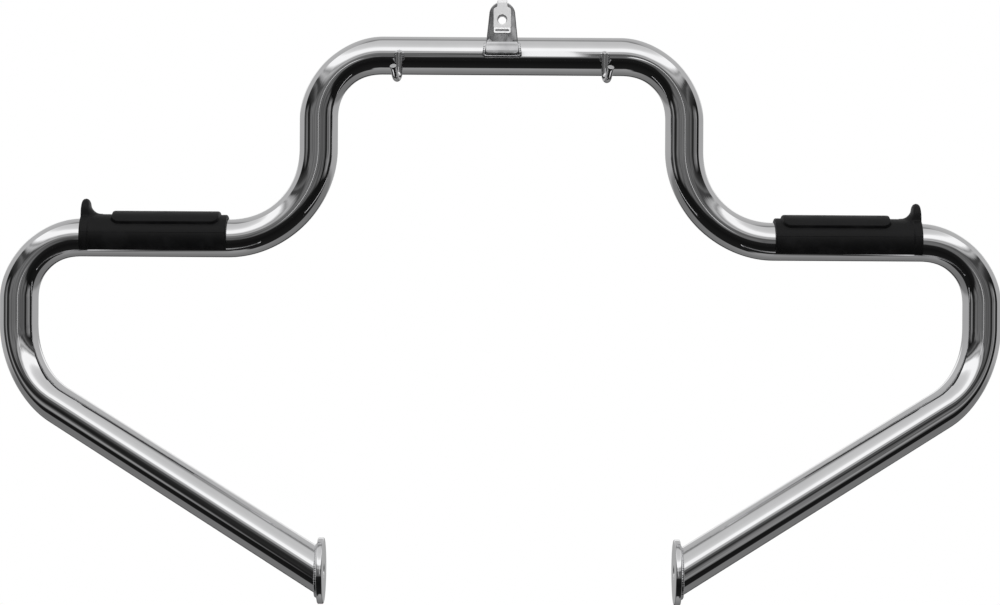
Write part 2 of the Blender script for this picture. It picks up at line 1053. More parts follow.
def resampled(points: Sequence[Point], step: float, closed: bool) -> np.ndarray:
    """Spaces points evenly along a line.

    Args:
        points: The line's corners.
        step: About how far the new points lie apart.
        closed: Whether the line closes.

    Returns:
        The new points, one to a row.
    """
    line = np.array(list(points) + ([points[0]] if closed else []), float)
    lengths = np.r_[0, np.cumsum(np.linalg.norm(np.diff(line, axis=0), axis=1))]
    count = max(8, int(round(lengths[-1] / step)))
    wanted = np.linspace(0, lengths[-1], count + 1)
    made = np.column_stack([np.interp(wanted, lengths, line[:, k]) for k in range(3)])
    return made[:-1] if closed else made


def arc(start: float, end: float, steps: int) -> list[float]:
    """Evenly spaced angles from start to end, given in degrees and returned in radians."""
    return [math.radians(start + (end - start) * n / steps) for n in range(steps + 1)]


def rounded(
    across: float, up: float, radius: float, start: float, end: float, steps: int
) -> list[Pair]:
    """Points round a corner.

    Args:
        across: First coordinate of the corner's centre.
        up: Second coordinate of the corner's centre.
        radius: The corner's radius, or less than 0 for a hollow corner.
        start: First direction from the centre, in degrees.
        end: Last direction.
        steps: How many steps lie between them.

    Returns:
        The points.
    """
    turns = arc(start, end, steps)
    return [(across + radius * math.cos(a), up + radius * math.sin(a)) for a in turns]


def mirrored(right: Sequence[Pair]) -> list[Pair]:
    """A right half that runs upward, with its mirror image that runs down again."""
    return list(right) + [(-x, z) for x, z in reversed(right)]


def star_loop(outline: Sequence[Pair], centre: Pair, count: int) -> tuple[np.ndarray, np.ndarray]:
    """Looks outward from a hole's centre at an outline.

    Args:
        outline: The outline's corners, anticlockwise, all in sight of the centre.
        centre: The hole's centre.
        count: How many evenly spread directions are added to those of the corners, less the ones
            that a corner has nearly taken.

    Returns:
        The angle of each direction, and where it meets the outline.
    """
    least, tiny, seam, digits = 0.2 * math.pi / count, 1e-12, 1e-4, 5
    shape = np.array(outline, float) - centre
    corner = np.unwrap(np.arctan2(shape[:, 1], shape[:, 0]))
    radii = np.linalg.norm(shape, axis=1)
    start = corner[0]
    extra = start + np.arange(count) * 2 * math.pi / count
    apart = np.abs(extra[:, None] - corner[None]).min(axis=1)
    angles = np.unique(np.round(np.r_[corner, extra[apart > least]], digits))
    angles = angles[(angles >= start) & (angles < start + 2 * math.pi - seam)]
    closed = np.vstack([shape, shape[:1]])
    turn = np.r_[corner, start + 2 * math.pi]
    made = []
    for angle in angles:
        edge = min(max(int(np.searchsorted(turn, angle, side="right")) - 1, 0), len(shape) - 1)
        first, last = closed[edge], closed[edge + 1]
        ray = np.array((math.cos(angle), math.sin(angle)))
        along = last - first
        cross = ray[0] * along[1] - ray[1] * along[0]
        moment = first[0] * along[1] - first[1] * along[0]
        reach = moment / cross if abs(cross) > tiny else radii[edge]
        made.append(ray * reach + centre)
    return angles, np.array(made)


def loop_normals(loop: np.ndarray) -> np.ndarray:
    """The outward direction at each point of an anticlockwise loop.

    Args:
        loop: The loop's points.

    Returns:
        A direction for each point.
    """

    def unit(rows: np.ndarray) -> np.ndarray:
        """Brings each row to length 1."""
        return rows / (np.linalg.norm(rows, axis=1, keepdims=True) + 1e-12)

    along = unit(unit(np.roll(loop, -1, axis=0) - loop) + unit(loop - np.roll(loop, 1, axis=0)))
    return np.column_stack([along[:, 1], -along[:, 0]])


def edge_steps(
    loop: np.ndarray, normal: np.ndarray, radius: float, half: float
) -> list[tuple[np.ndarray, float]]:
    """Steps round both corners of a plate's edge.

    Args:
        loop: The edge's outline.
        normal: The direction out of the plate at each of its points.
        radius: The corners' radius.
        half: Height of the face where the steps start, over the plate's middle. They end at the
            other face.

    Returns:
        The outline and the height of each step.
    """
    turns = arc(0, 90, 4)
    sign = math.copysign(1, half)
    first = [
        (loop - normal * radius * (1 - math.sin(a)), half - sign * radius * (1 - math.cos(a)))
        for a in turns
    ]
    second = [
        (loop - normal * radius * (1 - math.cos(a)), -half + sign * radius * (1 - math.sin(a)))
        for a in turns
    ]
    return first + second


def pierced_plate(
    name: str,
    outline: Sequence[Pair],
    hole: Hole,
    centre: Pair,
    thickness: float,
    edge: float,
    fold: Fold,
    finish: Material,
    rings: int = 12,
    count: int = 96,
    hole_edge: float | None = None,
) -> Object:
    """Makes a plate with one hole and rounded edges, and folds it into shape.

    Args:
        name: Name of the piece.
        outline: The plate's outline, anticlockwise, in sight of the hole's centre.
        hole: Turns directions from the hole's centre into points of the hole's edge.
        centre: The hole's centre.
        thickness: The plate's thickness.
        edge: Radius on the outer edges.
        fold: Turns flat places and heights above the middle into points in the frame.
        finish: The material.
        rings: How many steps lie between the hole and the outline.
        count: How many directions are drawn.
        hole_edge: Radius on the hole's edges, or None for that of the outer ones.

    Returns:
        The new object.
    """
    angles, outer = star_loop(outline, centre, count)
    inner = hole(angles)
    out_normal, in_normal = loop_normals(outer), -loop_normals(inner)
    rim = edge if hole_edge is None else hole_edge
    half = thickness / 2
    face_out, face_in = outer - out_normal * edge, inner - in_normal * rim
    shares = [number / rings for number in range(1, rings)]
    profile = edge_steps(outer, out_normal, edge, half)
    profile += [(face_out * (1 - share) + face_in * share, -half) for share in shares]
    profile += edge_steps(inner, in_normal, rim, -half)
    profile += [(face_in * (1 - share) + face_out * share, half) for share in shares]
    flat = np.vstack([np.column_stack([at, np.full(len(at), height)]) for at, height in profile])
    verts = fold(flat[:, 0], flat[:, 1], flat[:, 2])
    return outward(surface(name, verts, wrap_faces(len(profile), len(outer), True), finish))


def outward(made: Object) -> Object:
    """Turns a closed mesh right side out, if its volume is negative.

    Args:
        made: The mesh's object.

    Returns:
        The same object.
    """
    mesh = made.data
    mesh.calc_loop_triangles()
    points = np.empty(len(mesh.vertices) * 3)
    mesh.vertices.foreach_get("co", points)
    corners = np.empty(len(mesh.loop_triangles) * 3, int)
    mesh.loop_triangles.foreach_get("vertices", corners)
    a, b, c = (points.reshape(-1, 3)[corners.reshape(-1, 3)[:, k]] for k in range(3))
    if np.einsum("ij,ij->i", a, np.cross(b, c)).sum() < 0:
        mesh.flip_normals()
    return made


def round_hole(centre: Pair, radius: float) -> Hole:
    """The edge of a round hole, as pierced_plate asks for it."""
    return lambda turn: np.column_stack([np.cos(turn), np.sin(turn)]) * radius + centre


def settle(piece: Object, slot: str, *nodes: str) -> None:
    """Hands a finished piece to the frame.

    Args:
        piece: The piece.
        slot: The record's material slot.
        nodes: The construction nodes that the piece stands for.
    """
    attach(piece, BODY)
    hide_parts(*nodes)
    LOG.info("%s: %d faces, for %s", piece.name, len(piece.data.polygons), ", ".join(nodes))


def paint(node: str, finish: Material) -> None:
    """Gives a construction node that stays in view its real finish.

    Args:
        node: The node's name.
        finish: The finish.
    """
    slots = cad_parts[node].data.materials
    if len(slots):
        slots[0] = finish
    else:
        slots.append(finish)
    LOG.info("%s: painted %s", node, finish.name)


@dataclass
class BentTube:
    """The one long tube that makes both halves of the bars."""

    finishes: Finishes
    sweep: Sweep
    top_half: float = 98.9 * MM
    top_bend_r: float = 53.5 * MM
    inner_bend_r: float = 75 * MM
    outer_bend_r: float = 52 * MM
    leg_bend_r: float = 76 * MM
    upright_len: float = 24.8 * MM
    shelf_len: float = 122.1 * MM
    tight_flat: float = 0.075
    wide_flat: float = 0.0525
    rim_step: float = 0.004 * MM
    last_step: float = 14 * MM

    def half(self) -> Path:
        """Lays out the right half's centreline, from the top bar's middle to its end plate.

        Returns:
            The path.
        """
        down, out = Vector((0, 0, -1)), Vector((1, 0, 0))
        leg_in = BARS.outer_x - BARS.plate_back_x
        leg_down = BARS.plate_drop - BARS.leg_drop
        leg_len = math.sqrt(leg_in**2 + BARS.leg_sweep**2 + leg_down**2)
        turn = math.acos(leg_down / leg_len)
        setback = self.leg_bend_r * math.tan(turn / 2)
        outer_len = BARS.leg_drop - setback - BARS.shelf_drop - self.outer_bend_r
        leg_side = Vector((-leg_in, -BARS.leg_sweep, 0))
        path = Path(Vector(BARS.place(0, 0, 0)), out)
        path.straight(self.top_half, 8).bend(self.top_bend_r, 90, down, self.tight_flat)
        path.straight(self.upright_len, 2).bend(self.inner_bend_r, 90, out, self.wide_flat)
        path.straight(self.shelf_len, 8).bend(self.outer_bend_r, 90, down, self.tight_flat)
        path.straight(outer_len, 2)
        path.bend(self.leg_bend_r, math.degrees(turn), leg_side, self.wide_flat)
        path.straight(leg_len - setback - self.last_step, 16)
        return path.straight(self.last_step - self.rim_step).straight(self.rim_step)

    def build(self) -> Object:
        """Draws the whole tube, whose last two rings at each end slide into the plate's plane.

        Returns:
            The finished object.
        """
        half = self.half()
        mirror = Vector((-1, 1, 1))
        whole = Path(half.points[-1], half.headings[-1])
        whole.points = [point * mirror for point in reversed(half.points[1:])] + half.points
        whole.squash = [flat * mirror for flat in reversed(half.squash[1:])] + half.squash
        last = len(whole.points) - 1
        right = half.headings[-1] / half.headings[-1].x
        left = right * mirror / -1
        return self.sweep.draw(
            "main_tube",
            whole,
            BARS.tube_r,
            self.finishes.chrome,
            rim=[1.0 if number in (0, last) else 0.0 for number in range(last + 1)],
            wall=BARS.tube_r - BARS.bore_r,
            slide={0: left, 1: left, last - 1: right, last: right},
        )

    def dress(self) -> None:
        """Builds the tube and hands it to the frame."""
        settle(self.build(), "chrome", "main_tube")


@dataclass
class CentreTab:
    """The bolt tab on the top bar, with its weld."""

    finishes: Finishes
    bead: Bead
    thickness: float = 4 * MM
    wrap: float = 25.0
    bend_r: float = 6 * MM
    foot_half: float = 14.2 * MM
    top_half: float = 10.8 * MM
    top_z: float = 43.5 * MM
    hole_r: float = 4.5 * MM
    edge: float = 0.7 * MM
    foot_corner: float = 2.2 * MM
    side_points: int = 14
    weld_points: int = 20
    weld_r: float = 1.5 * MM
    weld_high: float = 36.0
    weld_low: float = -2.0
    weld_foot: float = -5.5
    weld_out: float = 0.9 * MM
    weld_beside: float = 0.7 * MM
    weld_corner: float = 0.6 * MM
    weld_taper: float = 0.1

    @property
    def foot_r(self) -> float:
        """Radius of the foot's middle plane round the top bar."""
        return BARS.tube_r + self.thickness / 2

    @property
    def curl_r(self) -> float:
        """Radius of the middle plane where the tab bends up."""
        return self.bend_r + self.thickness / 2

    @property
    def pivot(self) -> Pair:
        """Centre of that bend, as (forward, up) from the top bar's centre."""
        reach, angle = BARS.tube_r + self.thickness + self.bend_r, math.radians(self.wrap)
        return reach * math.cos(angle), reach * math.sin(angle)

    @property
    def foot_len(self) -> float:
        """Length of the foot along its middle plane."""
        return self.foot_r * math.radians(self.wrap)

    @property
    def curl_len(self) -> float:
        """Length of the bend along its middle plane."""
        return self.curl_r * math.radians(self.wrap)

    def section(
        self, along: np.ndarray
    ) -> tuple[np.ndarray, np.ndarray, np.ndarray, np.ndarray]:
        """Follows the folded plate's middle plane.

        Args:
            along: Distances from the foot's edge.

        Returns:
            The plane's forward and up places, and the same parts of its front direction.
        """
        pivot_f, pivot_z = self.pivot
        wrap = math.radians(self.wrap)
        on_foot = along < self.foot_len
        curl = np.clip(wrap - (along - self.foot_len) / self.curl_r, 0, wrap)
        angle = np.where(on_foot, along / self.foot_r, curl)
        front_f, front_z = np.cos(angle), np.sin(angle)
        rise = np.maximum(along - self.foot_len - self.curl_len, 0)
        place_f = np.where(on_foot, self.foot_r * front_f, pivot_f - self.curl_r * front_f)
        upper_z = pivot_z - self.curl_r * front_z + rise
        return place_f, np.where(on_foot, self.foot_r * front_z, upper_z), front_f, front_z

    def fold(self, across: np.ndarray, along: np.ndarray, height: np.ndarray) -> np.ndarray:
        """Folds the flat plate into the tab's real shape.

        Args:
            across: Places to the right on the flat plate.
            along: Distances from the foot's edge.
            height: Heights over the middle plane.

        Returns:
            The points in the frame.
        """
        place_f, place_z, front_f, front_z = self.section(along)
        forward, up = place_f + front_f * height, place_z + front_z * height
        return np.column_stack([across, BARS.bar_y - forward, BARS.bar_z + up])

    def flat_height(self, up: float) -> float:
        """Distance along the flat plate for a height on its upright part."""
        return self.foot_len + self.curl_len + up - self.pivot[1]

    def outline(self) -> list[Pair]:
        """The flat plate's outline, anticlockwise from the foot's lower right corner.

        Returns:
            The outline's points.
        """
        round_z = self.top_z - self.top_half
        corner, shoulder = self.foot_corner, self.flat_height(round_z)
        places = np.linspace(corner, shoulder, self.side_points)
        taper = np.clip(self.section(places)[1] / round_z, 0, 1)
        widths = self.foot_half + (self.top_half - self.foot_half) * taper
        foot = rounded(widths[0] - corner, corner, corner, -90, -15, 5)
        right = foot + list(zip(widths, places))
        crown = rounded(0, shoulder, self.top_half, 10, 170, 16)
        return right + crown + [(-x, along) for x, along in reversed(right)]

    def build(self) -> Object:
        """Cuts, pierces and folds the tab.

        Returns:
            The finished object.
        """
        centre = (0.0, self.flat_height(-BARS.bar_z))
        return pierced_plate(
            "center_tab",
            self.outline(),
            round_hole(centre, self.hole_r),
            centre,
            self.thickness,
            self.edge,
            self.fold,
            self.finishes.stamped,
            rings=44,
            count=160,
        )

    def weld(self) -> Object:
        """Lays the bead down one side of the foot, under it and up the other side.

        Returns:
            The finished object.
        """
        reach = BARS.tube_r + self.weld_out
        side = []
        for angle in np.linspace(self.weld_high, self.weld_low, self.weld_points):
            taper = 1 - self.weld_taper * max(angle, 0) / self.weld_high
            side.append((self.foot_half * taper + self.weld_beside, angle))
        side.append((self.foot_half - self.weld_corner, self.weld_foot))
        line = []
        for across, angle in mirrored(side):
            turned = math.radians(angle)
            line.append(BARS.place(across, reach * math.cos(turned), reach * math.sin(turned)))
        finish = self.finishes.weld
        return self.bead.lay("center_tab_weld", line, self.weld_r, finish, seed=3.0)

    def dress(self) -> None:
        """Builds the tab and its weld and hands them to the frame."""
        settle(self.build(), "chrome", "center_tab")
        settle(self.weld(), "weld", "center_tab_weld")


@dataclass
class ClipNut:
    """The folded spring clip over the tab, with its tapped barrel at the rear."""

    finishes: Finishes
    leaf_t: float = 1 * MM
    half_w: float = 7.2 * MM
    neck_half: float = 4.2 * MM
    rise: float = 9.9 * MM
    drop: float = 6.8 * MM
    foot_corner: float = 1 * MM
    shoulder_r: float = 2.2 * MM
    neck_root: float = 1.6 * MM
    shoulder_lean: float = 66.0
    hole_r: float = 4.1 * MM
    bore_r: float = 3.4 * MM
    crest_z: float = 15.4 * MM
    front_y: float = -4.5 * MM
    rear_y: float = 0.5 * MM
    lip_len: float = 5.4 * MM
    lip_half: float = 6.9 * MM
    lip_corner: float = 1.2 * MM
    lip_tilt: float = 24.0
    lip_back: float = 0.1 * MM
    lip_lap: float = 0.25 * MM
    slot_half: float = 5.8 * MM
    slot_h: float = 0.95 * MM
    slot_low: float = 0.1 * MM
    barrel_r: float = 5.8 * MM
    barrel_len: float = 6.5 * MM
    # Steps of the barrel's outside, in millimetres: how far each is drawn in, and how far it is
    # from the leaf, or for the rim's from the free end.
    root_steps: tuple[Pair, ...] = ((0.25, 0), (0, 0.15), (0, 1), (0, 2), (0, 4))
    rim_steps: tuple[Pair, ...] = ((0, 0.6), (0.15, 0.15), (0.5, 0))
    rim_land: float = 0.7 * MM
    rear_hole_r: float = 4 * MM
    thread_pitch: float = 1.25 * MM
    thread_depth: float = 0.32 * MM
    thread_start: float = 0.25 * MM
    edge: float = 0.22 * MM
    curl_r: float = 1.3 * MM

    def leaf_outline(self) -> list[Pair]:
        """One leaf with half of the fold, anticlockwise from its lower right corner.

        Returns:
            The outline's points.
        """
        top = self.crest_z + (self.rear_y - self.front_y) / 2 - self.curl_r * (2 - math.pi / 2)
        foot, shoulder, root = self.foot_corner, self.shoulder_r, self.neck_root
        right = [(self.half_w - foot, -self.drop)]
        right += rounded(self.half_w - foot, foot - self.drop, foot, -60, 0, 3)
        right += rounded(
            self.half_w - shoulder, self.rise - shoulder, shoulder, 0, self.shoulder_lean, 6
        )
        right += rounded(self.neck_half + root, self.rise + root, -root, self.shoulder_lean, 0, 5)
        return mirrored(right + [(self.neck_half, top)])

    def fold(self, side: int) -> Fold:
        """The fold of one leaf over the tab's top.

        Args:
            side: -1 for the front leaf and 1 for the rear one.

        Returns:
            The fold, as pierced_plate asks for it.
        """
        leaf_y = self.front_y if side < 0 else self.rear_y
        start = self.crest_z - self.curl_r
        quarter = self.curl_r * math.pi / 2

        def folded(across: np.ndarray, up: np.ndarray, height: np.ndarray) -> np.ndarray:
            """Turns flat places into folded ones.

            Args:
                across: Places across the leaf.
                up: Places up the leaf, measured along its middle.
                height: Distances outwards from that middle.

            Returns:
                The points in the frame.
            """
            turned = np.clip((up - start) / self.curl_r, 0, math.pi / 2)
            flat = np.maximum(up - start - quarter, 0)
            reach = self.curl_r + height
            inward = np.where(up > start, self.curl_r - reach * np.cos(turned), -height) + flat
            rise = np.where(up > start, start + reach * np.sin(turned), up)
            return np.column_stack([across, leaf_y - side * inward, rise])

        return folded

    def leaf(self, name: str, hole_r: float, side: int) -> Object:
        """Cuts, pierces and folds one leaf.

        Args:
            name: Name of the piece.
            hole_r: Radius of its hole.
            side: -1 for the front leaf and 1 for the rear one.

        Returns:
            The leaf.
        """
        centre = (0.0, 0.0)
        return pierced_plate(
            name,
            self.leaf_outline(),
            round_hole(centre, hole_r),
            centre,
            self.leaf_t,
            self.edge,
            self.fold(side),
            self.finishes.spring,
            rings=20,
        )

    def lip(self) -> Object:
        """The slotted lead-in lip below the front leaf.

        Returns:
            The lip.
        """
        tilt = math.radians(self.lip_tilt)
        corner = self.lip_corner
        right = rounded(self.lip_half - corner, corner - self.lip_len, corner, -90, 0, 5)
        middle = (0.0, -self.lip_len / 2 - self.slot_low)

        def slot(angles: np.ndarray) -> np.ndarray:
            """The slot's edge, with round ends.

            Args:
                angles: Directions from the slot's middle.

            Returns:
                The edge's point in each direction.
            """
            straight, tiny = self.slot_half - self.slot_h, 1e-6
            x, z = np.cos(angles), np.sin(angles)
            reach = self.slot_h / np.maximum(np.abs(z), tiny)
            root = np.sqrt(np.maximum(self.slot_h**2 - (straight * z) ** 2, 0))
            on_end = np.abs(x) * reach > straight
            reach = np.where(on_end, straight * np.abs(x) + root, reach)
            return np.column_stack([x * reach, z * reach + middle[1]])

        def fold(across: np.ndarray, up: np.ndarray, height: np.ndarray) -> np.ndarray:
            """Tilts the lip away from the tab.

            Args:
                across: Places across the lip.
                up: Places up the lip, which are negative below the leaf.
                height: Distances from the lip's middle, away from the tab.

            Returns:
                The points in the frame.
            """
            forward = height * math.cos(tilt) - up * math.sin(tilt)
            rise = up * math.cos(tilt) + height * math.sin(tilt)
            y = self.front_y + self.lip_back - forward
            return np.column_stack([across, y, rise - self.drop + self.lip_lap])

        return pierced_plate(
            "lip",
            mirrored(right + [(self.lip_half, 0.0)]),
            slot,
            middle,
            self.leaf_t,
            self.edge,
            fold,
            self.finishes.spring,
            rings=3,
            count=120,
        )

    def barrel(self) -> Object:
        """The tapped barrel, with rounded edges and threads inside.

        Returns:
            The barrel.
        """
        around, steps = 56, 44
        radius, length = self.barrel_r, self.barrel_len
        outer = [(radius - back * MM, depth * MM) for back, depth in self.root_steps]
        outer += [(radius - back * MM, length - short * MM) for back, short in self.rim_steps]
        outer.append((self.bore_r + self.rim_land, length))
        angles = np.arange(around) * 2 * math.pi / around
        spokes = [(np.full(around, spoke), depth) for spoke, depth in outer]
        for depth in np.linspace(length - self.thread_start, 0.0, steps):
            phase = np.mod(depth / self.thread_pitch - angles / (2 * math.pi), 1.0)
            spokes.append((self.bore_r + self.thread_depth * np.abs(phase * 2 - 1), depth))
        cos, sin = np.cos(angles), np.sin(angles)
        rows = [
            np.column_stack([spoke * cos, np.full(around, depth), spoke * sin])
            for spoke, depth in spokes
        ]
        faces = wrap_faces(len(rows), around, True)
        return outward(surface("barrel", np.vstack(rows), faces, self.finishes.spring))

    def dress(self) -> None:
        """Builds the clip and hands it to the frame."""
        front = self.leaf("clip", self.hole_r, -1)
        rear = self.leaf("rear", self.rear_hole_r, 1)
        clip = fused("tab_clip_nut", [front, rear, self.lip(), self.barrel()])
        settle(clip, "spring_steel", "tab_clip_nut")


@dataclass
class EndPlates:
    """The two flat end plates, their welds and the nuts behind them."""

    finishes: Finishes
    bead: Bead
    radius: float = 25.5 * MM
    hole_r: float = 5.4 * MM
    edge: float = 0.9 * MM
    hole_edge: float = 0.4 * MM
    facets: int = 144
    weld_r: float = 1.6 * MM
    weld_out: float = 0.8 * MM
    weld_back: float = 0.5 * MM
    weld_step: float = 4.0

    def plate(self, side: Side) -> Object:
        """Turns one plate.

        Args:
            side: The side that it is on.

        Returns:
            The plate.
        """
        middle = side.value * (BARS.plate_face_x + BARS.plate_t / 2)
        _, centre_y, centre_z = BARS.place(0, BARS.leg_sweep, -BARS.plate_drop)
        last = 360 * (1 - 1 / self.facets)

        def stand(across: np.ndarray, up: np.ndarray, height: np.ndarray) -> np.ndarray:
            """Stands the plate up across X."""
            return np.column_stack([middle + height, centre_y + across, centre_z + up])

        return pierced_plate(
            f"{side.label}_end_plate",
            rounded(0, 0, self.radius, 0, last, self.facets - 1),
            round_hole((0.0, 0.0), self.hole_r),
            (0.0, 0.0),
            BARS.plate_t,
            self.edge,
            stand,
            self.finishes.chrome,
            rings=8,
            count=self.facets,
            hole_edge=self.hole_edge,
        )

    def weld(self, side: Side) -> Object:
        """Lays the bead where the slanting tube meets the plate.

        Args:
            side: The side that it is on.

        Returns:
            The bead.
        """
        fall = BARS.leg_drop - BARS.plate_drop
        leg = Vector((BARS.plate_back_x - BARS.outer_x, -BARS.leg_sweep, fall)).normalized()
        first = leg.orthogonal().normalized()
        second = leg.cross(first)
        centre = Vector(BARS.place(BARS.plate_back_x, BARS.leg_sweep, -BARS.plate_drop))
        reach = BARS.tube_r + self.weld_out
        plane = BARS.plate_back_x + self.weld_back
        line = []
        for angle in np.radians(np.arange(0, 360, self.weld_step)):
            spot = centre + first * reach * math.cos(angle) + second * reach * math.sin(angle)
            spot += leg * (plane - spot.x) / leg.x
            line.append((spot.x * side.value, spot.y, spot.z))
        name, seed = f"{side.label}_end_weld", 7.0 + side.value
        bead = self.bead.lay(name, line, self.weld_r, self.finishes.weld, closed=True, seed=seed)
        return outward(bead)

    def dress(self) -> None:
        """Builds the plates and welds, and paints the nuts."""
        for side in Side:
            settle(self.plate(side), "chrome", f"{side.label}_end_plate")
            settle(self.weld(side), "weld", f"{side.label}_end_weld")
            paint(f"{side.label}_end_nut", self.finishes.steel)


@dataclass
class Hooks:
    """The two bent rods on the front of the top bar, with their welds."""

    finishes: Finishes
    sweep: Sweep
    bead: Bead
    rod_r: float = 2.8 * MM
    root_x: float = 85 * MM
    drop: float = 16.3 * MM
    head: float = 1 * MM
    bend_r: float = 6 * MM
    turn: float = 140.0
    flat: float = 0.03
    tip: float = 9.7 * MM
    yaw: float = 15.0
    gap: float = 0.1 * MM
    end_round: float = 0.5 * MM
    end_shares: tuple[float, ...] = (0.06, 0.14, 0.25, 0.3, 0.25)
    weld_r: float = 1.25 * MM
    weld_out: float = 0.3 * MM
    weld_over: float = 0.5 * MM
    weld_top: float = 1.9 * MM
    weld_side: tuple[Pair, ...] = ((3.0, -5.5), (3.1, -2.5), (2.7, 0.2), (1.5, 1.5))

    def rod(self, side: Side) -> Object:
        """Bends one rod and rounds its cut ends a little.

        Args:
            side: The side that it is on.

        Returns:
            The rod.
        """
        forward = BARS.tube_r + self.gap + self.rod_r
        start = Vector(BARS.place(side.value * self.root_x, forward, self.head))
        yaw = math.radians(self.yaw)
        bend_side = Vector((side.value * math.sin(yaw), -math.cos(yaw), 0))
        path = Path(start, Vector((0, 0, -1)))
        for share in self.end_shares:
            path.straight(self.end_round * share)
        path.straight(self.drop - self.end_round, 6)
        path.bend(self.bend_r, self.turn, bend_side, self.flat, step=4.0)
        path.straight(self.tip - self.end_round, 5)
        for share in reversed(self.end_shares):
            path.straight(self.end_round * share)
        lengths = [0.0]
        for before, after in zip(path.points, path.points[1:]):
            lengths.append(lengths[-1] + (after - before).length)
        rim = [self._rounding(min(place, lengths[-1] - place)) for place in lengths]
        name, finish = f"{side.label}_hook", self.finishes.chrome
        return self.sweep.draw(name, path, self.rod_r, finish, rim, facets=40)

    def _rounding(self, depth: float) -> float:
        """The share of the rod's radius at a depth below its end face."""
        near = 1 - min(depth / self.end_round, 1.0)
        return 1 - self.end_round / self.rod_r * (1 - math.sqrt(1 - near * near))

    def weld(self, side: Side) -> Object:
        """Lays the bead round the upper end of one rod's root.

        Args:
            side: The side that it is on.

        Returns:
            The bead.
        """
        reach = BARS.tube_r + self.weld_out
        left = [(-across * MM, up * MM) for across, up in self.weld_side]
        line = []
        for across, up in left + [(0, self.weld_top)] + [(-x, z) for x, z in reversed(left)]:
            forward = math.sqrt(reach**2 - up**2) + self.weld_over
            line.append(BARS.place(side.value * self.root_x + across, forward, up))
        name, seed = f"{side.label}_hook_weld", 11.0 + side.value
        return self.bead.lay(name, line, self.weld_r, self.finishes.weld, seed=seed)

    def dress(self) -> None:
        """Builds the hooks and welds and hands them to the frame."""
        for side in Side:
            settle(self.rod(side), "chrome", f"{side.label}_hook")
            settle(self.weld(side), "weld", f"{side.label}_hook_weld")


def eased(value: np.ndarray, low: float, high: float) -> np.ndarray:
    """Rises smoothly from 0 at low to 1 at high.

    Args:
        value: What is read.
        low: Where the rise starts.
        high: Where it ends.

    Returns:
        The share at each value.
    """
    share = np.clip((value - low) / (high - low), 0, 1)
    return share * share * (3 - 2 * share)


def soft_max(first: np.ndarray, second: np.ndarray, blend: float) -> np.ndarray:
    """The larger of two heights, with a fillet between them.

    Args:
        first: The first heights.
        second: The second heights.
        blend: About the fillet's size.

    Returns:
        The blended heights.
    """
    gap = np.maximum(blend - np.abs(first - second), 0) / blend
    return np.maximum(first, second) + gap * gap * blend / 4


